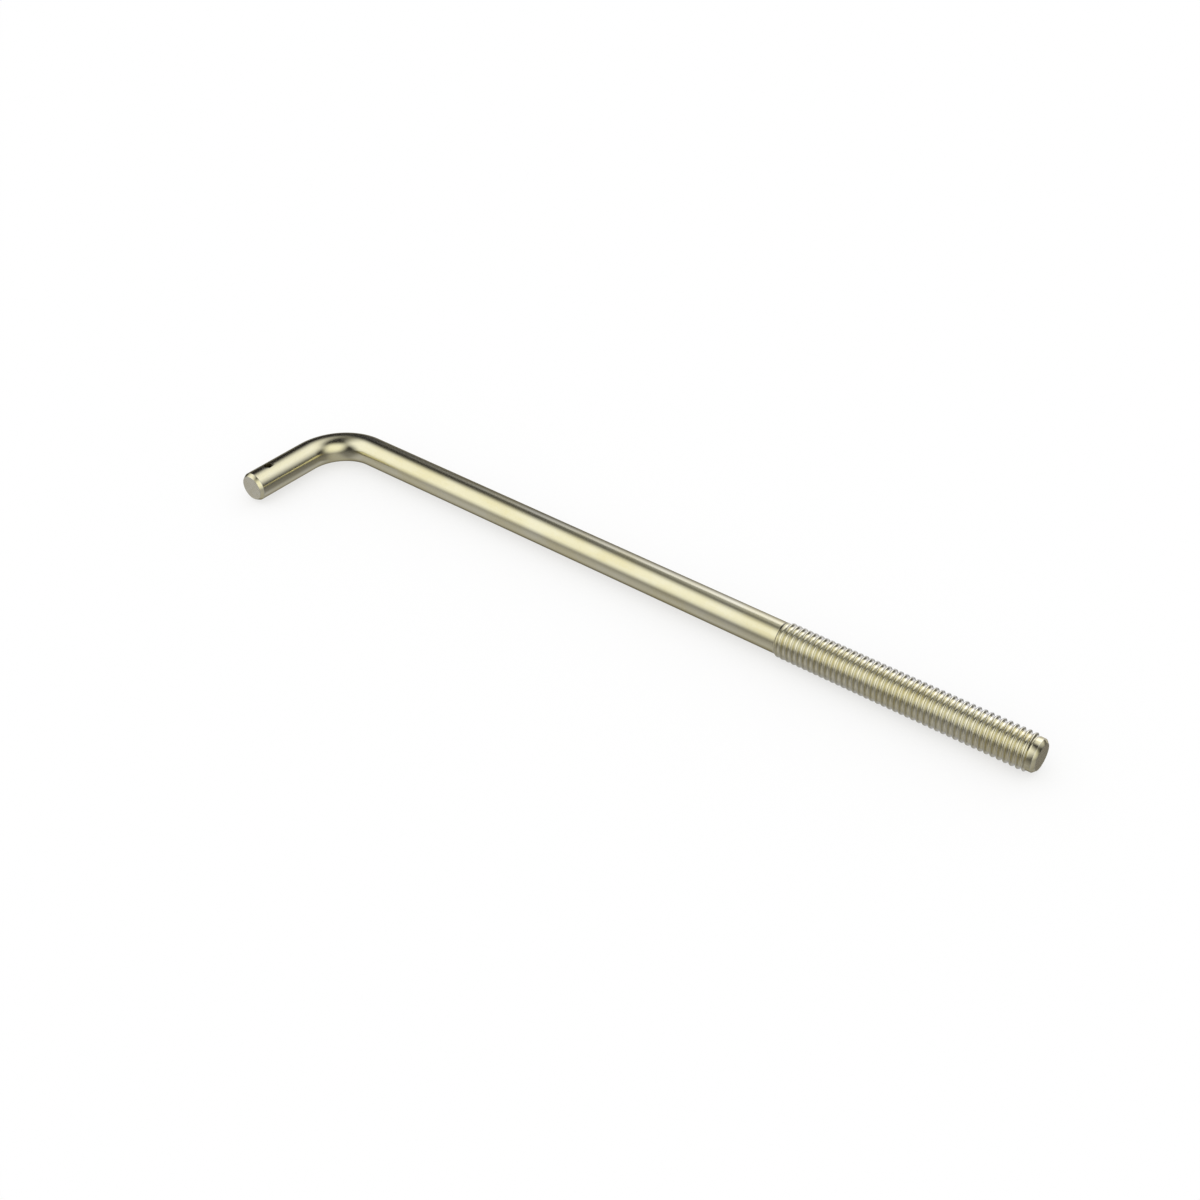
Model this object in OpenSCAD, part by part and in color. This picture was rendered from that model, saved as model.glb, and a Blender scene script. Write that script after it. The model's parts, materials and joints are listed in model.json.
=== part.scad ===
// Hook bolt: a round rod bent square at one end, with a cross hole in the
// short leg and a coarse rolled thread on the long leg. All sizes in millimetres.

/* [Rod] */
// Diameter of the plain rod
rod_d = 8.494; // [7.8:0.002:9.4]
// Length from the short leg's axis to the threaded tip
bolt_length = 228.6; // [150:0.1:400]

/* [Hook] */
// Length from the long leg's axis to the end of the short leg
hook_reach = 35.15; // [28:0.1:60]
// Radius on the inside of the bend
bend_r = 9.3; // [6:0.1:12]
// Length of the chamfer on the end of the short leg
hook_chamfer = 1.1; // [0.3:0.05:2]

/* [Cross hole] */
// Diameter of the hole through the short leg
hole_d = 2.4; // [1.2:0.1:4]
// Distance from the end of the short leg to the middle of the hole
hole_setback = 6.95; // [5:0.1:12]

/* [Thread] */
// Outside diameter of the thread
thread_d = 9.525; // [9.2:0.005:11]
// Distance from one turn of the thread to the next
pitch = 1.5875; // [1.3:0.0005:2]
// Length of the threaded end, with its plain tip
thread_length = 69.85; // [30:0.05:110]
// Turns over which the thread rises out of the rod
runout_turns = 1; // [0.5:0.25:3]
// Length of the plain tip past the thread, with its chamfer
tip_length = 2.1; // [1.6:0.05:6]
// Length of the chamfer on the tip
tip_chamfer = 0.85; // [0.3:0.05:1.5]

/* [Chamfers] */
// Slope of both chamfers to the rod
chamfer_angle = 30; // [20:1:45]

/* [Hidden] */
$fn = 96;

rod_r = rod_d / 2;
bend_axis_r = bend_r + rod_r;
thread_start = bolt_length - thread_length;
thread_end = bolt_length - tip_length;

// Thread form: flanks at 60 degrees to each other, a flat crest of an eighth
// of the pitch and a flat root of a quarter of it.
sharp_height = pitch * sqrt(3) / 2;
crest_r = thread_d / 2;
root_r = crest_r - 5 / 8 * sharp_height;
crest_flat = pitch / 8;
root_flat = pitch / 4;
foot_x = (pitch - root_flat) / 2;
form_x = [-foot_x, -crest_flat / 2, crest_flat / 2, foot_x];
form_r = [root_r, crest_r, crest_r, root_r];

// The thread's skin meets the rod's ends on rims just inside its surface
facets = 24;
rim_inset = rod_r / 200;
rim_r = rod_r - rim_inset;
collar = pitch / 4;
// The plain rod runs on a little under the collar at each end of the thread
lap = collar / 2;
end_fall_turns = 0.5;
turns = floor((thread_end - thread_start - 2 * (collar + foot_x)) / pitch);
steps = turns * facets;
first_x = thread_end - collar - foot_x - turns * pitch;

// The bolt lies on its side on the floor, which the widest part of it touches
half_depth = max(crest_r, rod_r);
mid_x = (bolt_length - rod_r) / 2;
mid_y = (half_depth - hook_reach) / 2;

// The end of a leg along +Z, from z0 to its chamfered face at z1
module leg_end(z0, z1, chamfer) {
    face_r = rod_r - chamfer * tan(chamfer_angle);
    rotate_extrude()
        polygon([[0, z0], [rod_r, z0], [rod_r, z1 - chamfer], [face_r, z1], [0, z1]]);
}

// The short leg, from the bend to its chamfered end, with its cross hole
module short_leg() {
    difference() {
        rotate([90, 0, 0])
            leg_end(bend_axis_r, hook_reach, hook_chamfer);
        translate([0, hole_setback - hook_reach, 0])
            cylinder(d = hole_d, h = 2 * rod_d, center = true);
    }
}

// The quarter bend between the two legs
module bend() {
    translate([bend_axis_r, -bend_axis_r, 0])
        rotate([0, 0, 90])
            rotate_extrude(angle = 90)
                translate([bend_axis_r, 0])
                    circle(r = rod_r);
}

// The plain stretch of the long leg, from the bend to the thread
module shank() {
    translate([bend_axis_r, 0, 0])
        rotate([0, 90, 0])
            cylinder(r = rod_r, h = thread_start + lap - bend_axis_r);
}

// The plain, chamfered tip past the thread
module tip() {
    rotate([0, 90, 0])
        leg_end(thread_end - lap, bolt_length, tip_chamfer);
}

// Share of the full height of the thread at a step along it
function rise(i) = min(1, i / facets / runout_turns, (steps - i) / facets / end_fall_turns);
function at(x, r, i) = [x, r * cos(i * 360 / facets), r * sin(i * 360 / facets)];

// Numbers of the points: the low rim, the high rim, then four for each step,
// the foot and top of one flank and the top and foot of the next. A fifth
// point of a step is the first one of the step a turn further on.
function low_rim(i) = i % facets;
function high_rim(i) = facets + i % facets;
function strip(i, q) = q < 4 ? 2 * facets + 4 * i + q : strip(i + facets, 0);

// The thread is one closed skin: a strip a pitch wide winds round the rod as
// a right-hand helix, with a collar and a flat cap at each end of it.
module thread() {
    points = concat(
        [for (i = [0:facets - 1]) at(thread_start, rim_r, i)],
        [for (i = [0:facets - 1]) at(thread_end, rim_r, i)],
        [for (i = [0:steps]) for (q = [0:3])
            at(first_x + pitch * i / facets + form_x[q],
               rim_r + rise(i) * (form_r[q] - rim_r), i)]);
    winding = [
        for (i = [0:steps - 1])
            for (q = [0:i + facets < steps ? 3 : 2])
                each [[strip(i, q), strip(i, q + 1), strip(i + 1, q + 1)],
                      [strip(i, q), strip(i + 1, q + 1), strip(i + 1, q)]]];
    low_last = facets - 1;
    low_collar = concat(
        [for (i = [0:low_last - 1])
            each [[low_rim(i), strip(i, 0), strip(i + 1, 0)],
                  [low_rim(i), strip(i + 1, 0), low_rim(i + 1)]]],
        [for (q = [0:3]) [strip(low_last, 0), strip(0, q + 1), strip(0, q)]],
        [[strip(low_last, 0), strip(0, 0), low_rim(0)],
         [low_rim(low_last), strip(low_last, 0), low_rim(0)]]);
    high_first = steps - facets + 1;
    high_collar = concat(
        [for (i = [high_first:steps - 1])
            each [[strip(i, 3), high_rim(i), high_rim(i + 1)],
                  [strip(i, 3), high_rim(i + 1), strip(i + 1, 3)]]],
        [for (q = [0:2]) [strip(high_first, 3), strip(steps, q), strip(steps, q + 1)]],
        [[strip(high_first, 3), strip(high_first - 1, 3), strip(steps, 0)],
         [strip(high_first, 3), strip(steps, 3), high_rim(0)],
         [strip(high_first, 3), high_rim(0), high_rim(1)]]);
    caps = [[for (i = [0:facets - 1]) low_rim(i)],
            [for (i = [facets - 1:-1:0]) high_rim(i)]];
    polyhedron(points, concat(winding, low_collar, high_collar, caps), convexity = 10);
}

// The whole bolt is one piece of rod
module hook_bolt() {
    color([0.80, 0.77, 0.62])
        translate([-mid_x, -mid_y, half_depth])
            union() {
                short_leg();
                bend();
                shank();
                thread();
                tip();
            }
}

hook_bolt();
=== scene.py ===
import json
import math

import bpy
from mathutils import Matrix, Vector


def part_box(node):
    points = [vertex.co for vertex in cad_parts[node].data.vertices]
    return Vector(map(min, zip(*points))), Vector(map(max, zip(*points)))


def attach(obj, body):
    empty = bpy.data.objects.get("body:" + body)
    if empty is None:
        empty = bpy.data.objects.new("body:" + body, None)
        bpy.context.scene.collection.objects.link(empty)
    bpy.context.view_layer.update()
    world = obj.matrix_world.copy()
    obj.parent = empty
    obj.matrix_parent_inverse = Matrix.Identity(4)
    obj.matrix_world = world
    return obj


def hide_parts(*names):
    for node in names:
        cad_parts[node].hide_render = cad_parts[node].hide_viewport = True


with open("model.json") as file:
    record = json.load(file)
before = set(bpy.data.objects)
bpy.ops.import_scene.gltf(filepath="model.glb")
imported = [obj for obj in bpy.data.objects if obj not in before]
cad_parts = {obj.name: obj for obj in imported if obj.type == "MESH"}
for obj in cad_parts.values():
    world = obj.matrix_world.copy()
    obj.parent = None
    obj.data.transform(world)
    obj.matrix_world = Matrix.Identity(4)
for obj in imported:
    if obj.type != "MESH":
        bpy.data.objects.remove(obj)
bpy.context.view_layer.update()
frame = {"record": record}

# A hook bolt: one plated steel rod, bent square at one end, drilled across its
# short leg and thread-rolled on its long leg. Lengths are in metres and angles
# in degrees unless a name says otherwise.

# ---------------------------------------------------------------- sizes

low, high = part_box("hook_bolt")
mounts = {m["name"]: m for m in frame["record"]["mounts"]}
leg_mount = mounts["hook_leg"]
hole_mount = mounts["cross_hole"]

rod_r = leg_mount["dims"]["r_mm"] / 1000
crest_r = (high.z - low.z) / 2
leg_x = leg_mount["pos_m"][0]
long_y = mounts["thread"]["pos_m"][1]
axis_z = mounts["thread"]["pos_m"][2]
tip_x = high.x
leg_end_y = low.y
hole_y = hole_mount["pos_m"][1]
hole_r = hole_mount["dims"]["r_mm"] / 1000

# The hook mount lies on the inside of the bend, halfway round it
BEND_ANGLE = 90
hook_offset = mounts["hook"]["pos_m"][0] - leg_x
bend_in_r = (hook_offset - rod_r) / (1 - math.cos(math.radians(BEND_ANGLE / 2)))
bend_r = bend_in_r + rod_r
bend_x = leg_x + bend_r
bend_y = long_y - bend_r

# The thread. Its lengths along the bolt are measured from the tip's face, and its
# crest and root flats are shares of a pitch.
PITCH = 0.0015875
THREAD_LENGTH = 0.07015
TIP_LENGTH = 0.0021
LAST_CREST = 0.0028
CREST_TURN = 135            # where it is measured: round from +Y, over the top
CREST_SHARE = 0.20
ROOT_SHARE = 0.40
FLANK_DEPTH = 0.00064
THREAD_ROUND = 0.00014
RUNOUT_TURNS = 0.9          # how long the thread takes to sink into the plain rod
TIP_TURNS = 0.3             # the same at the tip
SPARE_TURNS = 2             # wound past each end and then cut off
BRIDGE_TURNS = 1 / 16       # how far each end of the thread is from the plain rod's rim

# The two ends and the mouths of the hole. An angle is from the rod's own line.
TIP_CHAMFER = 0.00082
TIP_CHAMFER_ANGLE = 45
LEG_CHAMFER = 0.0011
LEG_CHAMFER_ANGLE = 30
EDGE_ROUND = 0.00006
MOUTH_ROUND = 0.00004

# How finely each shape is made
ROD_SIDES = 96
THREAD_SIDES = 96
HOLE_SIDES = 64
LONG_LEG_RINGS = 24
BEND_RINGS = 36
SHORT_LEG_RINGS = 8
ROUND_STEPS = 3
MOUTH_STEPS = 2
SHARP_EDGE = 32             # an edge that turns more than this looks sharp

# How near two places are to be taken for one
SAME_PLACE = 1e-6
SAME_PLANE = 1e-8
TURN_WELD = 1e-7            # one turn of the thread to the next
THREAD_WELD = 2e-7
BOLT_WELD = 5e-7
HOLE_SLACK = 2e-6           # the hole's flat sides lie inside its round
MOUTH_SLACK = 2e-5          # the rod's flat sides lie inside its round
BELOW_SKIN = 1e-5           # a face of the hole's wall lies deeper in the rod than this

root_r = crest_r - FLANK_DEPTH
crest_flat = CREST_SHARE * PITCH
root_flat = ROOT_SHARE * PITCH
foot_x = (PITCH - root_flat) / 2
thread_x0 = tip_x - THREAD_LENGTH
thread_x1 = tip_x - TIP_LENGTH
# A turn of the crest starts at first_x on the side that faces +Y
turns = math.floor((thread_x1 - thread_x0) / PITCH)
first_x = tip_x - LAST_CREST - PITCH * CREST_TURN / 360 - turns * PITCH
plain_end_x = tip_x - TIP_CHAMFER
plain_end_y = leg_end_y + LEG_CHAMFER
tip_face_r = rod_r - TIP_CHAMFER * math.tan(math.radians(TIP_CHAMFER_ANGLE))
leg_face_r = rod_r - LEG_CHAMFER * math.tan(math.radians(LEG_CHAMFER_ANGLE))

# Lengths along the rod as if it were straight, from the end of the short leg
leg_length = bend_y - leg_end_y
bend_length = bend_r * math.radians(BEND_ANGLE)
thread_from = leg_length + bend_length + thread_x0 - bend_x
thread_to = thread_from + thread_x1 - thread_x0
rod_length = leg_length + bend_length + tip_x - bend_x


# ---------------------------------------------------------------- modelling

def only(obj):
    """Make one object the selected and active one."""
    bpy.ops.object.select_all(action="DESELECT")
    obj.select_set(True)
    bpy.context.view_layer.objects.active = obj


def settle(obj):
    """Put the object's place into its mesh."""
    only(obj)
    bpy.ops.object.transform_apply(location=True, rotation=True, scale=True)


def edit(obj, mode="VERT"):
    """Go into edit mode with nothing selected."""
    only(obj)
    bpy.ops.object.mode_set(mode="EDIT")
    bpy.ops.mesh.select_mode(type=mode)
    bpy.ops.mesh.select_all(action="DESELECT")


def leave():
    """Go back to object mode."""
    bpy.ops.object.mode_set(mode="OBJECT")


def weld(obj, reach):
    """Merge the points that lie within a reach of each other, and stay in edit mode."""
    edit(obj)
    bpy.ops.mesh.select_all(action="SELECT")
    bpy.ops.mesh.remove_doubles(threshold=reach)


def near(a, b, slack=SAME_PLACE):
    """Whether two numbers are the same but for a little slack."""
    return abs(a - b) < slack


def off_axis(co):
    """How far a point is from the long leg's axis."""
    return math.hypot(co.y - long_y, co.z - axis_z)


def off_leg(co):
    """How far a point is from the short leg's axis."""
    return math.hypot(co.x - leg_x, co.z - axis_z)


def off_hole(co):
    """How far a point is from the cross hole's axis."""
    return math.hypot(co.x - leg_x, co.y - hole_y)


def ease(share):
    """A share from 0 to 1 that sets off and arrives gently."""
    return share * share * (3 - 2 * share)


def pick(obj, mode, vert_test=None, edge_test=None):
    """Select by place: the vertices that pass a test, or the edges that pass one."""
    leave()
    mesh = obj.data
    for p in mesh.polygons:
        p.select = False
    for e in mesh.edges:
        e.select = bool(edge_test) and edge_test(
            e, *(mesh.vertices[i].co for i in e.vertices))
    chosen = {i for e in mesh.edges if e.select for i in e.vertices}
    for v in mesh.vertices:
        v.select = v.index in chosen or bool(vert_test) and vert_test(v.co)
    bpy.ops.object.mode_set(mode="EDIT")
    bpy.ops.mesh.select_mode(type=mode)


def pick_rims(obj, x0, x1):
    """Select the open edges that lie between two places along the long leg."""
    faces_on = {}
    for p in obj.data.polygons:
        for key in p.edge_keys:
            faces_on[key] = faces_on.get(key, 0) + 1
    pick(obj, "EDGE", edge_test=lambda e, a, b: (
        faces_on.get(e.key, 0) < 2
        and all(x0 - SAME_PLACE < c.x < x1 + SAME_PLACE for c in (a, b))))


def draw_out(step, times=1):
    """Extrude the selected edges along a step, as often as asked."""
    for _ in range(times):
        bpy.ops.mesh.extrude_edges_move(TRANSFORM_OT_translate={"value": tuple(step)})


def round_edges(obj, test, width, segments=ROUND_STEPS):
    """Bevel the edges whose two ends pass a test of their place."""
    pick(obj, "EDGE", edge_test=lambda e, a, b: test(a, b))
    bpy.ops.mesh.bevel(offset=width, offset_type="OFFSET", segments=segments,
                       profile=0.5, affect="EDGES", clamp_overlap=True)
    leave()


def chamfer_and_close(obj, axis, start, step, centre, off, face_r):
    """Draw the selected rim in over a chamfer and close it with a flat face.

    The leg runs along axis 0 or 1, and its chamfer starts at start and takes one
    step. The face is round centre, and off says how far a point is from the leg's
    own axis.
    """
    draw_out(step)
    share = face_r / rod_r
    bpy.ops.transform.resize(value=[1.0 if i == axis else share for i in range(3)],
                             center_override=centre)
    bpy.ops.mesh.edge_face_add()
    # A ring inside the rim keeps the face's shading flat
    bpy.ops.mesh.inset(thickness=Vector(step).length / 2, depth=0)

    def on_chamfer_rim(a, b):
        return near(a[axis], b[axis]) and (near(a[axis], start) or (
            near(a[axis], centre[axis]) and all(near(off(c), face_r) for c in (a, b))))

    round_edges(obj, on_chamfer_rim, EDGE_ROUND)


def thread_skin():
    """The rolled thread: one pitch of its outline, wound up as a right-hand screw."""
    bpy.ops.object.select_all(action="DESELECT")
    bpy.ops.mesh.primitive_plane_add(size=1, location=(0, 0, 0))
    skin = bpy.context.object
    skin.name = "thread_skin"
    edit(skin)
    bpy.ops.mesh.select_all(action="SELECT")
    bpy.ops.transform.resize(value=(2 * foot_x, FLANK_DEPTH, 1), center_override=(0, 0, 0))
    bpy.ops.transform.translate(value=(0, root_r + FLANK_DEPTH / 2, 0))
    # The top of the plane draws in to the crest, and its foot opens
    pick(skin, "VERT", lambda c: near(c.y, crest_r))
    bpy.ops.transform.resize(value=(crest_flat / (2 * foot_x), 1, 1),
                             center_override=(0, crest_r, 0))
    pick(skin, "EDGE", edge_test=lambda e, a, b: near(a.y, root_r) and near(b.y, root_r))
    bpy.ops.mesh.delete(type="EDGE")
    for side in (-1, 1):
        pick(skin, "VERT", lambda c: near(c.y, root_r) and near(c.x, side * foot_x))
        bpy.ops.mesh.extrude_vertices_move(
            TRANSFORM_OT_translate={"value": (side * root_flat / 2, 0, 0)})
    # The rolls leave small rounds at the crest and in the root
    pick(skin, "VERT", lambda c: abs(c.x) < foot_x + SAME_PLACE)
    bpy.ops.mesh.bevel(offset=THREAD_ROUND, segments=ROUND_STEPS, affect="VERTICES",
                       profile=0.5)
    leave()
    skin.location = (first_x - SPARE_TURNS * PITCH, long_y, axis_z)
    screw = skin.modifiers.new("wind", "SCREW")
    screw.axis = "X"
    screw.angle = math.tau
    screw.screw_offset = PITCH
    screw.iterations = turns + 2 * SPARE_TURNS
    screw.steps = screw.render_steps = THREAD_SIDES
    screw.use_merge_vertices = True
    screw.merge_threshold = TURN_WELD
    only(skin)
    bpy.ops.object.modifier_apply(modifier=screw.name)
    settle(skin)
    weld(skin, THREAD_WELD)
    leave()
    return skin


def trim_thread(skin):
    """Cut the thread square at both ends and let it sink into the plain rod there."""
    for plane_x, direction in ((thread_x0, 1), (thread_x1, -1)):
        edit(skin)
        bpy.ops.mesh.select_all(action="SELECT")
        bpy.ops.mesh.bisect(plane_co=(plane_x, long_y, axis_z), plane_no=(direction, 0, 0),
                            clear_inner=True, clear_outer=False, threshold=SAME_PLANE)
        leave()
    for v in skin.data.vertices:
        share = ease(max(0, min((v.co.x - thread_x0) / (RUNOUT_TURNS * PITCH),
                                (thread_x1 - v.co.x) / (TIP_TURNS * PITCH), 1)))
        r = off_axis(v.co)
        scale = (rod_r + share * (r - rod_r)) / r
        v.co.y = long_y + (v.co.y - long_y) * scale
        v.co.z = axis_z + (v.co.z - axis_z) * scale


def rim(x, name):
    """An open ring of the rod's own size round the long leg, in edit mode and selected."""
    bpy.ops.object.select_all(action="DESELECT")
    bpy.ops.mesh.primitive_circle_add(vertices=ROD_SIDES, radius=rod_r, fill_type="NOTHING",
                                      location=(x, long_y, axis_z),
                                      rotation=(0, math.radians(90), 0))
    ring = bpy.context.object
    ring.name = name
    settle(ring)
    edit(ring, "EDGE")
    bpy.ops.mesh.select_all(action="SELECT")
    return ring


def bent_rod(x):
    """The plain rod from the thread round the bend to the end of the short leg."""
    rod = rim(x, "plain_rod")
    draw_out(((bend_x - x) / LONG_LEG_RINGS, 0, 0), LONG_LEG_RINGS)
    bpy.ops.mesh.spin(steps=BEND_RINGS, angle=-math.radians(BEND_ANGLE),
                      center=(bend_x, bend_y, axis_z), axis=(0, 0, 1))
    draw_out((0, (plain_end_y - bend_y) / SHORT_LEG_RINGS, 0), SHORT_LEG_RINGS)
    chamfer_and_close(rod, 1, plain_end_y, (0, -LEG_CHAMFER, 0),
                      (leg_x, leg_end_y, axis_z), off_leg, leg_face_r)
    return rod


def plain_tip(x):
    """The short plain end past the thread, with its chamfer."""
    tip = rim(x, "plain_tip")
    draw_out((plain_end_x - x, 0, 0))
    chamfer_and_close(tip, 0, plain_end_x, (TIP_CHAMFER, 0, 0),
                      (tip_x, long_y, axis_z), off_axis, tip_face_r)
    return tip


def join(parts):
    """Make several open shells one mesh."""
    only(parts[0])
    for p in parts[1:]:
        p.select_set(True)
    bpy.ops.object.join()
    return parts[0]


def bridge(obj, x0, x1):
    """Close the gap between the two open rims that lie from x0 to x1."""
    only(obj)
    pick_rims(obj, x0, x1)
    bpy.ops.mesh.bridge_edge_loops()
    leave()


def drill(obj):
    """Cut the cross hole through the short leg and break its two sharp mouths."""
    bpy.ops.object.select_all(action="DESELECT")
    # The bit is half as long again as the rod is thick, so it goes right through
    bpy.ops.mesh.primitive_cylinder_add(vertices=HOLE_SIDES, radius=hole_r, depth=3 * rod_r,
                                        location=(leg_x, hole_y, axis_z))
    drill_bit = bpy.context.object
    drill_bit.name = "drill_bit"
    settle(drill_bit)
    only(obj)
    cut = obj.modifiers.new("drill", "BOOLEAN")
    cut.operation = "DIFFERENCE"
    cut.solver = "EXACT"
    cut.object = drill_bit
    bpy.ops.object.modifier_apply(modifier=cut.name)
    bpy.data.objects.remove(drill_bit)

    def on_mouth(c):
        return near(off_hole(c), hole_r, HOLE_SLACK) and near(off_leg(c), rod_r, MOUTH_SLACK)

    round_edges(obj, lambda a, b: on_mouth(a) and on_mouth(b), MOUTH_ROUND, MOUTH_STEPS)


def straight_places(obj):
    """Note where each point would lie if the rod were straight, from the short leg's end."""
    places = obj.data.attributes.new("straight_place", "FLOAT_VECTOR", "POINT")
    for v, place in zip(obj.data.vertices, places.data):
        x, y, z = v.co
        if x > bend_x:
            along, out = leg_length + bend_length + x - bend_x, y - long_y
        elif y < bend_y:
            along, out = y - leg_end_y, leg_x - x
        else:
            along = leg_length + bend_r * math.atan2(y - bend_y, bend_x - x)
            out = math.hypot(x - bend_x, y - bend_y) - bend_r
        place.vector = (along, out, z - axis_z)


def hook_bolt_piece():
    """The whole bolt as one closed skin."""
    rod_end = thread_x0 - BRIDGE_TURNS * PITCH
    tip_start = thread_x1 + BRIDGE_TURNS * PITCH
    skin = thread_skin()
    trim_thread(skin)
    bolt = join([bent_rod(rod_end), skin, plain_tip(tip_start)])
    bolt.name = "bent_threaded_rod"
    bridge(bolt, rod_end, thread_x0)
    bridge(bolt, thread_x1, tip_start)
    weld(bolt, BOLT_WELD)
    bpy.ops.mesh.normals_make_consistent(inside=False)
    leave()
    drill(bolt)
    straight_places(bolt)
    only(bolt)
    bpy.ops.object.shade_smooth_by_angle(angle=math.radians(SHARP_EDGE))
    # Wide faces keep their own direction and the narrow rounds take up the turn
    even = bolt.modifiers.new("even_shading", "WEIGHTED_NORMAL")
    even.keep_sharp = True
    bpy.ops.object.modifier_apply(modifier=even.name)
    return bolt


# ---------------------------------------------------------------- node building

def add(tree, kind, inputs=None, **settings):
    """A shader node with its settings, and each input set to a value or linked."""
    made = tree.nodes.new("ShaderNode" + kind)
    for name, value in settings.items():
        setattr(made, name, value)
    for name, value in (inputs or {}).items():
        if isinstance(value, bpy.types.NodeSocket):
            tree.links.new(value, made.inputs[name])
        else:
            made.inputs[name].default_value = value
    return made


def maths(tree, operation, *values, clamp=False):
    """The output of a Math node."""
    return add(tree, "Math", dict(enumerate(values)), operation=operation,
               use_clamp=clamp).outputs[0]


def vectors(tree, operation, *values):
    """The output of a Vector Math node: a length, a dot product or a vector."""
    made = add(tree, "VectorMath", dict(enumerate(values)), operation=operation)
    return made.outputs["Value" if operation in ("LENGTH", "DOT_PRODUCT") else "Vector"]


def total(tree, *parts):
    """The sum of several values, each times its own weight."""
    amounts = [maths(tree, "MULTIPLY", value, weight) for value, weight in parts]
    result = amounts.pop()
    while amounts:
        result = maths(tree, "ADD", amounts.pop(), result)
    return result


def ramp(tree, value, start, end, to_start=0.0, to_end=1.0):
    """A value taken smoothly from one range to another."""
    made = add(tree, "MapRange", {"Value": value, "From Min": start, "From Max": end,
                                  "To Min": to_start, "To Max": to_end},
               interpolation_type="SMOOTHSTEP")
    return made.outputs["Result"]


def blend(tree, share, first, second, mode="MIX"):
    """Two colours mixed by a share."""
    made = tree.nodes.new("ShaderNodeMix")
    made.data_type = "RGBA"
    made.blend_type = mode
    for name, value in (("Factor_Float", share), ("A_Color", first), ("B_Color", second)):
        socket = next(s for s in made.inputs if s.identifier == name)
        if isinstance(value, bpy.types.NodeSocket):
            tree.links.new(value, socket)
        else:
            socket.default_value = value
    return next(s for s in made.outputs if s.identifier == "Result_Color")


def towards(tree, color, other, mask, most):
    """A colour turned towards another where a mask is, by a share at the most."""
    return blend(tree, maths(tree, "MULTIPLY", mask, most), color, other)


def effect(name, inputs, outputs):
    """A node group with named sockets: its tree, what it is given, and its way out."""
    tree = bpy.data.node_groups.new(name, "ShaderNodeTree")
    for in_out, sockets in (("INPUT", inputs), ("OUTPUT", outputs)):
        for label, kind in sockets.items():
            tree.interface.new_socket(label, in_out=in_out, socket_type="NodeSocket" + kind)
    given = tree.nodes.new("NodeGroupInput").outputs
    out = tree.nodes.new("NodeGroupOutput").inputs

    def put_out(**values):
        for label, value in values.items():
            tree.links.new(value, out[label])
        return tree

    return tree, given, put_out


def use(tree, group, **inputs):
    """An effect placed in a tree with its own values: what it puts out."""
    named = {label.replace("_", " "): value for label, value in inputs.items()}
    return add(tree, "Group", named, node_tree=group).outputs


def off_line(tree, place, through, across):
    """How far a place is from a line through a point, along the axes across the line."""
    away = vectors(tree, "SUBTRACT", place, through)
    return vectors(tree, "LENGTH", vectors(tree, "MULTIPLY", away, across))


# ---------------------------------------------------------------- finishes

# A metal's colour as linear light, and a tint as what its colour is multiplied by
PLATE = (0.871, 0.823, 0.578, 1)
PLATE_DEEP = (0.850, 0.788, 0.508, 1)
PLATE_PALE = (0.889, 0.852, 0.640, 1)
BARE_ZINC = (0.845, 0.840, 0.800, 1)
# Painted highlight on the thread's crests and roots, and painted shade on its flanks
CREST_PAINTED_HIGHLIGHT = (1.005, 1.010, 1.040, 1)
FLANK_PAINTED_SHADE = (0.905, 0.908, 0.955, 1)
ROOT_PAINTED_HIGHLIGHT = (1.030, 1.033, 1.085, 1)
CUT_FACE = (0.910, 0.880, 0.715, 1)
GRAZING_TINT = (0.600, 0.550, 0.420, 1)
PLAIN = (1, 1, 1, 1)
# The hole's wall and its ridges: the bored steel's own tone, darkened further as painted shade
# inside the hole
SHADED_HOLE_WALL = (0.170, 0.145, 0.080, 1)
SHADED_HOLE_RIDGE = (0.300, 0.265, 0.170, 1)

PLATE_ROUGHNESS = 0.19
CUT_ROUGHNESS = 0.27
CUT_ROUGHNESS_DRIFT = 0.03
HOLE_ROUGHNESS = 0.42
HOLE_ROUGHNESS_DRIFT = 0.05

# Even noise fills little more than this part of its range from 0 to 1
NOISE_SPAN = (0.30, 0.70)

# Patterns: the size of a grain each way (along the rod, out and up where the rod is
# taken straight), the noise's detail and roughness, and the part of its range shown
PATTERNS = {
    "clouds": ((0.0130, 0.0070, 0.0070), 3.0, 0.5, (0.32, 0.68)),
    "runs": ((0.0160, 0.0011, 0.0011), 2.0, 0.5, NOISE_SPAN),
    "mottle": ((0.0008, 0.0008, 0.0008), 4.0, 0.6, NOISE_SPAN),
    "drawn_lines": ((0.0090, 0.00022, 0.00022), 3.0, 0.6, NOISE_SPAN),
    "fine_scratches": ((0.0030, 0.00009, 0.0040), 1.0, 0.5, (0.735, 0.80)),
    "cross_scratches": ((0.0022, 0.00008, 0.0035), 1.0, 0.5, (0.735, 0.80)),
    "handled_places": ((0.0080, 0.0050, 0.0050), 2.0, 0.5, (0.42, 0.62)),
    "knocks": ((0.0013, 0.0011, 0.0011), 1.0, 0.5, (0.76, 0.86)),
    "rubbed_places": ((0.0014, 0.0007, 0.0007), 3.0, 0.6, (0.30, 0.66)),
    "hole_clouds": ((0.0007, 0.0007, 0.0007), 3.0, 0.5, NOISE_SPAN),
}
# Grain sizes of the noise that is used over its whole range or in more than one way
PLATE_GRAIN = (0.00016, 0.00016, 0.00016)
RIDGE_WAVER = (0.0009, 0.0009, 0.0009)
CUT_CLOUDS = (0.0016, 0.0016, 0.0016)
SCRATCH_TURNS = {"fine_scratches": (20, 35, 28), "cross_scratches": (-40, 15, -52)}

# How much each pattern adds to how pale the plate's colour is
CLOUD_WEIGHT = 0.55
RUN_WEIGHT = 0.25
MOTTLE_WEIGHT = 0.20

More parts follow.
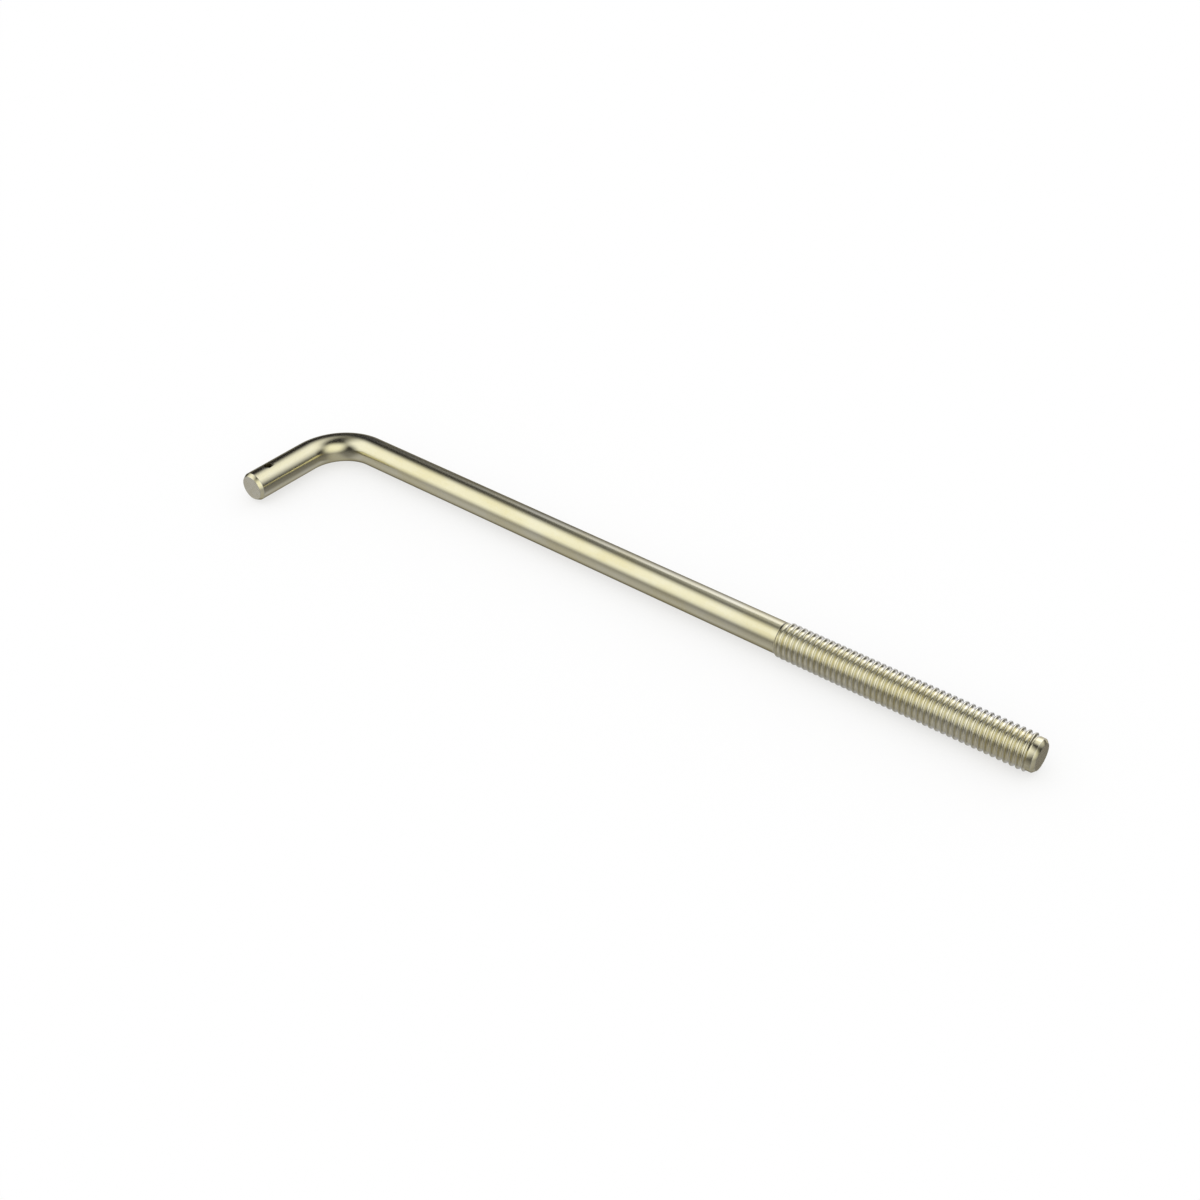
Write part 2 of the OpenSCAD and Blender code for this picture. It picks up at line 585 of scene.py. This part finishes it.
# Heights of the fine relief
LINE_HEIGHT = 1.6e-6
GRAIN_HEIGHT = 1.1e-6
SCRATCH_HEIGHT = -2.0e-6
KNOCK_HEIGHT = -14.0e-6
RIDGE_HEIGHT = 1.5e-6

# How pale the plate is, from 0 to 1, where its colour is deepest, its own and palest,
# and the span over which its roughness follows
DEEPEST, EVEN, PALEST = 0.10, 0.50, 0.90
PALE_SPAN = (0.25, 0.75)

# How far each mark turns the colour under it, and how far each moves the roughness
LINE_SHADE = 0.10
SCRATCH_SHINE = 0.55
PALE_ROUGHNESS = 0.015
MOTTLE_ROUGHNESS = 0.010
SCRATCH_ROUGHNESS = 0.08
CUT_CLOUD_SHADE = 0.30
CUT_RING_SHINE = 0.25
HOLE_RING_SHINE = 0.35

# Wear: how marked the rod and the thread are, how wide a rubbed edge is, and how much
# bare zinc shows there
ROD_WEAR = 1.0
THREAD_WEAR = 0.5
RUBBED_EDGE = 0.00022
RUBBED_CREST = 0.00007
EDGE_SHINE = 0.5
CREST_SHINE = 0.35
LEAST_RUBBED = 0.25         # of the width, where an edge is rubbed least

# Tool marks: from one ridge to the next, how far they waver, and their least share of
# their full height
CUT_RING = 0.00032
HOLE_RING = 0.00024
WAVER_RADIANS = 2.5
LEAST_RIDGE = 0.35

# How far from the crest and from the root their painted highlight and painted shade tints
# start and end
TINT_NEAR, TINT_FAR = 0.00002, 0.00008


def speckle(tree, place, size, detail=2.0, roughness=0.5):
    """Even noise from 0 to 1 whose grains have a size in metres each way."""
    spread = vectors(tree, "MULTIPLY", place, [1 / s for s in size])
    return add(tree, "TexNoise", {"Vector": spread, "Scale": 1.0, "Detail": detail,
                                  "Roughness": roughness}).outputs["Fac"]


def pattern(tree, place, name, least=0.0, most=1.0):
    """One of the patterns, taken over its own part of the noise's range."""
    size, detail, roughness, shown = PATTERNS[name]
    return ramp(tree, speckle(tree, place, size, detail, roughness), *shown, least, most)


def turned(tree, place, angles):
    """A place turned, so that a pattern runs another way over the steel."""
    return add(tree, "Mapping", {
        "Vector": place, "Rotation": [math.radians(a) for a in angles]}).outputs["Vector"]


def plate_clouds_group():
    """How the passivated plate's colour drifts: broad clouds, fine mottle, runs."""
    tree, given, put_out = effect("plate_clouds", {"Place": "Vector"},
                                  {"Paleness": "Float", "Mottle": "Float"})
    mottle = pattern(tree, given["Place"], "mottle")
    paleness = total(tree, (pattern(tree, given["Place"], "clouds"), CLOUD_WEIGHT),
                     (pattern(tree, given["Place"], "runs"), RUN_WEIGHT),
                     (mottle, MOTTLE_WEIGHT))
    return put_out(Paleness=paleness, Mottle=mottle)


def drawn_grain_group():
    """The fine lines that the die leaves along a drawn rod, and the plate's own grain."""
    tree, given, put_out = effect("drawn_grain", {"Place": "Vector"},
                                  {"Line": "Float", "Height": "Float"})
    line = pattern(tree, given["Place"], "drawn_lines")
    grain = speckle(tree, given["Place"], PLATE_GRAIN)
    return put_out(Line=line, Height=total(tree, (line, LINE_HEIGHT), (grain, GRAIN_HEIGHT)))


def handling_wear_group():
    """Short fine scratches two ways across the rod, and small knocks."""
    tree, given, put_out = effect("handling_wear", {"Place": "Vector"},
                                  {"Scratch": "Float", "Height": "Float"})
    scratch = 0.0
    for name, angles in SCRATCH_TURNS.items():
        streak = pattern(tree, turned(tree, given["Place"], angles), name)
        scratch = maths(tree, "MAXIMUM", scratch, streak)
    scratch = maths(tree, "MULTIPLY", scratch, pattern(tree, given["Place"], "handled_places"))
    knock = pattern(tree, given["Place"], "knocks")
    return put_out(Scratch=scratch,
                   Height=total(tree, (scratch, SCRATCH_HEIGHT), (knock, KNOCK_HEIGHT)))


def worn_edge_group():
    """Where an edge is rubbed: nearest to it, and in patches."""
    tree, given, put_out = effect("worn_edge", {
        "Place": "Vector", "From Edge": "Float", "Width": "Float"}, {"Mask": "Float"})
    reach = maths(tree, "MULTIPLY", given["Width"],
                  pattern(tree, given["Place"], "rubbed_places", LEAST_RUBBED))
    return put_out(Mask=ramp(tree, given["From Edge"], reach, 0.0))


def tool_marks_group():
    """Fine even ridges that a cutting edge leaves, with a waver in their height."""
    tree, given, put_out = effect("tool_marks", {
        "Place": "Vector", "Across": "Float", "Spacing": "Float"},
        {"Ridge": "Float", "Height": "Float"})
    waver = speckle(tree, given["Place"], RIDGE_WAVER)
    rings = maths(tree, "DIVIDE", given["Across"], given["Spacing"])
    phase = total(tree, (rings, math.tau), (waver, WAVER_RADIANS))
    # The sine runs from -1 to 1, and a ridge from 0 to 1
    ridge = maths(tree, "MULTIPLY_ADD", maths(tree, "SINE", phase), 0.5, 0.5)
    ridge = maths(tree, "MULTIPLY", ridge, ramp(tree, waver, *NOISE_SPAN, LEAST_RIDGE))
    return put_out(Ridge=ridge, Height=maths(tree, "MULTIPLY", ridge, RIDGE_HEIGHT))


def plate_finish_group(clouds, grain, wear):
    """The whole plated finish, from a colour and how deep and pale it drifts."""
    tree, given, put_out = effect("plate_finish", {
        "Place": "Vector", "Plate": "Color", "Deep": "Color", "Pale": "Color",
        "Roughness": "Float", "Wear": "Float"},
        {"Color": "Color", "Roughness": "Float", "Height": "Float"})
    cloud = use(tree, clouds, Place=given["Place"])
    line = use(tree, grain, Place=given["Place"])
    mark = use(tree, wear, Place=given["Place"])
    paleness = cloud["Paleness"]
    scratch = maths(tree, "MULTIPLY", mark["Scratch"], given["Wear"])
    color = blend(tree, ramp(tree, paleness, EVEN, DEEPEST), given["Plate"], given["Deep"])
    color = blend(tree, ramp(tree, paleness, EVEN, PALEST), color, given["Pale"])
    color = towards(tree, color, given["Deep"], line["Line"], LINE_SHADE)
    color = towards(tree, color, BARE_ZINC, scratch, SCRATCH_SHINE)
    rough = maths(tree, "ADD", given["Roughness"],
                  ramp(tree, paleness, *PALE_SPAN, PALE_ROUGHNESS, -PALE_ROUGHNESS))
    rough = maths(tree, "ADD", rough, ramp(tree, cloud["Mottle"], 0.0, 1.0,
                                           -MOTTLE_ROUGHNESS, MOTTLE_ROUGHNESS))
    rough = maths(tree, "ADD", rough, maths(tree, "MULTIPLY", scratch, SCRATCH_ROUGHNESS),
                  clamp=True)
    height = maths(tree, "ADD", line["Height"],
                   maths(tree, "MULTIPLY", mark["Height"], given["Wear"]))
    return put_out(Color=color, Roughness=rough, Height=height)


def metal(name, base, grazing=GRAZING_TINT):
    """A metal material, its tree and its shader."""
    made = bpy.data.materials.new(name)
    made.use_nodes = True
    shader = made.node_tree.nodes["Principled BSDF"]
    shader.inputs["Base Color"].default_value = base
    shader.inputs["Metallic"].default_value = 1.0
    shader.inputs["Specular Tint"].default_value = grazing
    return made, made.node_tree, shader


def finish(tree, shader, color, rough, height):
    """Join a colour, a roughness and a height in metres to a shader."""
    bump = add(tree, "Bump", {"Strength": 1.0, "Distance": 1.0, "Height": height})
    for name, value in (("Base Color", color), ("Roughness", rough),
                        ("Normal", bump.outputs["Normal"])):
        tree.links.new(value, shader.inputs[name])


def rod_place(tree):
    """Where each point lies if the rod is taken straight."""
    return add(tree, "Attribute", attribute_name="straight_place").outputs["Vector"]


def own_place(tree):
    """Where each point lies on the bolt as it is."""
    return add(tree, "TexCoord").outputs["Object"]


def from_middle(tree, place):
    """How far a point is from the middle of the rod."""
    return off_line(tree, place, (0, 0, 0), (0, 1, 1))


def part_of(tree, place, axis):
    """One of a place's three parts."""
    return add(tree, "SeparateXYZ", {"Vector": place}).outputs[axis]


def plating(tree, plate_finish, place, wear):
    """The plated finish in the bolt's own colours."""
    return use(tree, plate_finish, Place=place, Plate=PLATE, Deep=PLATE_DEEP,
               Pale=PLATE_PALE, Roughness=PLATE_ROUGHNESS, Wear=wear)


def plated_rod(plate_finish, worn_edge):
    """The plain rod, rubbed at its ends, its chamfers and the hole's mouths."""
    made, tree, shader = metal("plated_rod", PLATE)
    place = rod_place(tree)
    along = part_of(tree, place, "X")
    plated = plating(tree, plate_finish, place, ROD_WEAR)
    from_hole = off_line(tree, own_place(tree), (leg_x, hole_y, 0), (1, 1, 0))
    nearest = maths(tree, "SUBTRACT", from_hole, hole_r)
    for edge in (0, LEG_CHAMFER, rod_length - TIP_CHAMFER, rod_length):
        away = maths(tree, "ABSOLUTE", maths(tree, "SUBTRACT", along, edge))
        nearest = maths(tree, "MINIMUM", nearest, away)
    rubbed = use(tree, worn_edge, Place=place, From_Edge=nearest, Width=RUBBED_EDGE)
    color = towards(tree, plated["Color"], BARE_ZINC, rubbed["Mask"], EDGE_SHINE)
    finish(tree, shader, color, plated["Roughness"], plated["Height"])
    return made


def rolled_thread(plate_finish, worn_edge):
    """The thread: painted highlight makes its crests and roots paler and cooler, painted shade
    makes its flanks darker, and its crests are rubbed.
    """
    made, tree, shader = metal("rolled_thread", PLATE, PLAIN)
    place = rod_place(tree)
    along = part_of(tree, place, "X")
    out = from_middle(tree, place)
    plated = plating(tree, plate_finish, place, THREAD_WEAR)
    inside = maths(tree, "MULTIPLY", ramp(tree, along, thread_from, thread_from + PITCH),
                   ramp(tree, along, thread_to, thread_to - TIP_TURNS * PITCH))
    # Near the crest and the root the colour takes painted highlight, and on the flanks painted
    # shade
    below = ramp(tree, out, crest_r - TINT_NEAR, crest_r - TINT_FAR)
    flank_shade_mask = maths(tree, "MULTIPLY", below,
                  ramp(tree, out, root_r + TINT_NEAR, root_r + TINT_FAR))
    painted_light_and_shade = blend(tree, below, CREST_PAINTED_HIGHLIGHT, ROOT_PAINTED_HIGHLIGHT)
    painted_light_and_shade = blend(tree, flank_shade_mask, painted_light_and_shade, FLANK_PAINTED_SHADE)
    painted_light_and_shade = blend(tree, inside, PLAIN, painted_light_and_shade)
    color = blend(tree, 1.0, plated["Color"], painted_light_and_shade, "MULTIPLY")
    rubbed = use(tree, worn_edge, Place=place, Width=RUBBED_CREST,
                 From_Edge=maths(tree, "SUBTRACT", crest_r, out))
    color = towards(tree, color, BARE_ZINC, rubbed["Mask"], CREST_SHINE)
    finish(tree, shader, color, plated["Roughness"], plated["Height"])
    return made


def cut_faces(tool_marks):
    """The two sawn and faced ends: rings round the middle, plated over."""
    made, tree, shader = metal("cut_faces", CUT_FACE)
    place = rod_place(tree)
    marks = use(tree, tool_marks, Place=place, Across=from_middle(tree, place),
                Spacing=CUT_RING)
    cloud = speckle(tree, place, CUT_CLOUDS, detail=3.0)
    color = blend(tree, ramp(tree, cloud, *NOISE_SPAN, 0.0, CUT_CLOUD_SHADE), CUT_FACE,
                  PLATE_DEEP)
    color = towards(tree, color, BARE_ZINC, marks["Ridge"], CUT_RING_SHINE)
    rough = ramp(tree, cloud, *NOISE_SPAN, CUT_ROUGHNESS - CUT_ROUGHNESS_DRIFT,
                 CUT_ROUGHNESS + CUT_ROUGHNESS_DRIFT)
    finish(tree, shader, color, rough, marks["Height"])
    return made


def hole_wall_painted_shade(tool_marks):
    """The bored wall of the cross hole: its own darker bored steel, darkened further as
    painted shade for the shade inside the hole, with the drill's rings down it.
    """
    made, tree, shader = metal("hole_wall_painted_shade", SHADED_HOLE_WALL, PLAIN)
    place = own_place(tree)
    marks = use(tree, tool_marks, Place=place, Across=part_of(tree, place, "Z"),
                Spacing=HOLE_RING)
    color = towards(tree, SHADED_HOLE_WALL, SHADED_HOLE_RIDGE, marks["Ridge"], HOLE_RING_SHINE)
    rough = pattern(tree, place, "hole_clouds", HOLE_ROUGHNESS - HOLE_ROUGHNESS_DRIFT,
                    HOLE_ROUGHNESS + HOLE_ROUGHNESS_DRIFT)
    finish(tree, shader, color, rough, marks["Height"])
    return made


def finishes():
    """The bolt's four finishes, in the order in which its faces take them."""
    plate_finish = plate_finish_group(plate_clouds_group(), drawn_grain_group(),
                                      handling_wear_group())
    worn_edge = worn_edge_group()
    tool_marks = tool_marks_group()
    return (plated_rod(plate_finish, worn_edge), rolled_thread(plate_finish, worn_edge),
            cut_faces(tool_marks), hole_wall_painted_shade(tool_marks))


def dress(obj):
    """Give each face the finish that its place calls for."""
    for made in finishes():
        obj.data.materials.append(made)
    plated, threaded, cut, bored_and_shaded = range(4)
    for p in obj.data.polygons:
        c = p.center
        p.material_index = plated
        if near(c.y, leg_end_y) or near(c.x, tip_x):
            p.material_index = cut
        elif thread_x0 < c.x < thread_x1:
            p.material_index = threaded
        # The hole's wall takes the dark finish with painted shade in it
        elif off_hole(c) < hole_r + HOLE_SLACK and off_leg(c) < rod_r - BELOW_SKIN:
            p.material_index = bored_and_shaded


# ---------------------------------------------------------------- studio

# Each box: the azimuth and the height that it shines from, its roll, its half width
# and half height as seen from the bolt one metre off, the softness of its sides and
# of its ends, and its light
SOFT_BOXES = {
    "left_box": (-139.8, 35.7, -0.3, 0.687, 0.646, 0.487, 0.382, (1.014, 1.012, 0.981)),
    "front_box": (-34.9, 29.5, 10.8, 0.550, 0.596, 0.367, 0.471, (0.994, 0.983, 0.862)),
    "back_box": (72.1, 44.0, 15.5, 0.705, 0.622, 0.587, 0.289, (0.983, 0.986, 0.991)),
    "side_box": (100.0, 10.0, -18.8, 0.365, 0.800, 0.181, 0.100, (0.655, 0.671, 0.839)),
    "left_glow": (-143.4, -30.1, -0.6, 0.508, 0.673, 0.464, 0.274, (0.266, 0.267, 0.299)),
    "low_glow": (-33.7, -54.4, -7.9, 0.357, 1.570, 0.311, 0.941, (0.202, 0.200, 0.197)),
    "back_glow": (113.9, -42.4, -45.0, 0.131, 1.457, 0.626, 0.200, (0.419, 0.435, 0.549)),
}
WHITE = (1, 1, 1, 1)
CEILING = (0.020, 0.019, 0.023, 1)
GROUND = (0.194, 0.189, 0.186, 1)
HORIZON = -6.4              # where the ceiling's shade turns into the ground's
HORIZON_BLEND = 56.3
LEAST_AHEAD = 0.001         # keeps the soft boxes' sums from dividing by nothing
FLOOR_SIZE = 6
FLOOR_SHADE = 0.35          # how much of the floor's white is paint that can be shaded

# The camera's place is from where the two legs' axes meet
CAMERA_FROM_CORNER = (0.310634, -0.254238, 0.237495)
CAMERA_AZIMUTH = 39.62195
CAMERA_ELEVATION = 37.43969
CAMERA_ROLL = -1.28019
CAMERA_LENS_MM = 45.3839
CAMERA_SENSOR_MM = 36
CAMERA_NEAR, CAMERA_FAR = 0.01, 20


def soft_box_group():
    """A flat light panel with soft edges: 1 inside it and 0 away from it."""
    tree, given, put_out = effect("soft_box", {
        "Direction": "Vector", "Facing": "Vector", "Across": "Vector", "Up": "Vector",
        "Half Width": "Float", "Half Height": "Float", "Side Softness": "Float",
        "End Softness": "Float"}, {"Mask": "Float"})
    ahead = vectors(tree, "DOT_PRODUCT", given["Direction"], given["Facing"])
    mask = maths(tree, "GREATER_THAN", ahead, 0.0)
    for axis, half, softness in (("Across", "Half Width", "Side Softness"),
                                 ("Up", "Half Height", "End Softness")):
        aside = vectors(tree, "DOT_PRODUCT", given["Direction"], given[axis])
        off = maths(tree, "ABSOLUTE", maths(
            tree, "DIVIDE", aside, maths(tree, "MAXIMUM", ahead, LEAST_AHEAD)))
        inside = ramp(tree, off, maths(tree, "ADD", given[half], given[softness]),
                      maths(tree, "SUBTRACT", given[half], given[softness]))
        mask = maths(tree, "MULTIPLY", mask, inside)
    return put_out(Mask=mask)


def room_with_boxes(tree):
    """What metal sees: a dim room, paler below, with soft boxes round the bolt."""
    box = soft_box_group()
    direction = add(tree, "TexCoord").outputs["Generated"]
    latitude = maths(tree, "DEGREES", maths(tree, "ARCSINE", part_of(tree, direction, "Z")))
    below = ramp(tree, latitude, HORIZON + HORIZON_BLEND / 2, HORIZON - HORIZON_BLEND / 2)
    room = blend(tree, below, CEILING, GROUND)
    for name, (azimuth, height, roll, wide, tall, side, end, light) in SOFT_BOXES.items():
        turn, rise = math.radians(azimuth), math.radians(height)
        facing = Vector((math.cos(rise) * math.cos(turn), math.cos(rise) * math.sin(turn),
                         math.sin(rise)))
        level = Vector((-math.sin(turn), math.cos(turn), 0))
        tilt = Matrix.Rotation(math.radians(roll), 3, facing)
        panel = add(tree, "Group", {
            "Direction": direction, "Facing": facing, "Across": tilt @ level,
            "Up": tilt @ facing.cross(level), "Half Width": wide, "Half Height": tall,
            "Side Softness": side, "End Softness": end}, node_tree=box)
        panel.label = name
        room = vectors(tree, "MULTIPLY_ADD", panel.outputs["Mask"], light, room)
    return room


def studio():
    """White all round to the eye and to paint; metal sees soft boxes in a dim room."""
    world = bpy.data.worlds.new("studio")
    bpy.context.scene.world = world
    world.use_nodes = True
    tree = world.node_tree
    tree.nodes.clear()
    rays = add(tree, "LightPath").outputs
    backdrop = blend(tree, rays["Is Glossy Ray"], WHITE, room_with_boxes(tree))
    seen = maths(tree, "MAXIMUM", rays["Is Camera Ray"], rays["Is Glossy Ray"])
    seen = maths(tree, "MAXIMUM", seen, rays["Is Transmission Ray"])
    soft_light = add(tree, "Background", {"Color": WHITE, "Strength": 1.0})
    shown = add(tree, "Background", {"Color": backdrop, "Strength": 1.0})
    mixed = add(tree, "MixShader", {0: seen, 1: soft_light.outputs[0], 2: shown.outputs[0]})
    add(tree, "OutputWorld", {"Surface": mixed.outputs[0]})
    world.cycles.sampling_method = "NONE"


def floor():
    """A plain white floor that keeps a light shadow."""
    bpy.ops.object.select_all(action="DESELECT")
    bpy.ops.mesh.primitive_plane_add(size=FLOOR_SIZE, location=(0, 0, low.z))
    plane = bpy.context.object
    plane.name = "floor"
    settle(plane)
    plane.visible_glossy = False
    made = bpy.data.materials.new("white_floor")
    made.use_nodes = True
    tree = made.node_tree
    tree.nodes.clear()
    paint = add(tree, "BsdfDiffuse", {"Color": (FLOOR_SHADE,) * 3 + (1,)})
    rays = add(tree, "LightPath").outputs
    glow = maths(tree, "MULTIPLY", rays["Is Camera Ray"], 1 - FLOOR_SHADE)
    lift = add(tree, "Emission", {"Color": WHITE, "Strength": glow})
    both = add(tree, "AddShader", {0: paint.outputs[0], 1: lift.outputs[0]})
    add(tree, "OutputMaterial", {"Surface": both.outputs[0]})
    plane.data.materials.append(made)


def camera():
    """The view over the bolt, from its threaded end's front side."""
    turn, rise = math.radians(CAMERA_AZIMUTH), math.radians(CAMERA_ELEVATION)
    back = Vector((math.sin(turn) * math.cos(rise), -math.cos(turn) * math.cos(rise),
                   math.sin(rise)))
    bpy.ops.object.camera_add(location=Vector((leg_x, long_y, axis_z))
                              + Vector(CAMERA_FROM_CORNER))
    made = bpy.context.object
    made.rotation_mode = "QUATERNION"
    made.rotation_quaternion = ((-back).to_track_quat("-Z", "Y").to_matrix()
                                @ Matrix.Rotation(math.radians(CAMERA_ROLL), 3, "Z")
                                ).to_quaternion()
    made.data.sensor_width = CAMERA_SENSOR_MM
    made.data.lens = CAMERA_LENS_MM
    made.data.clip_start, made.data.clip_end = CAMERA_NEAR, CAMERA_FAR
    bpy.context.scene.camera = made


# ---------------------------------------------------------------- the scene

camera()
bolt = hook_bolt_piece()
dress(bolt)
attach(bolt, "root")
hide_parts("hook_bolt")
studio()
floor()

bpy.context.scene.view_settings.view_transform = "Standard"
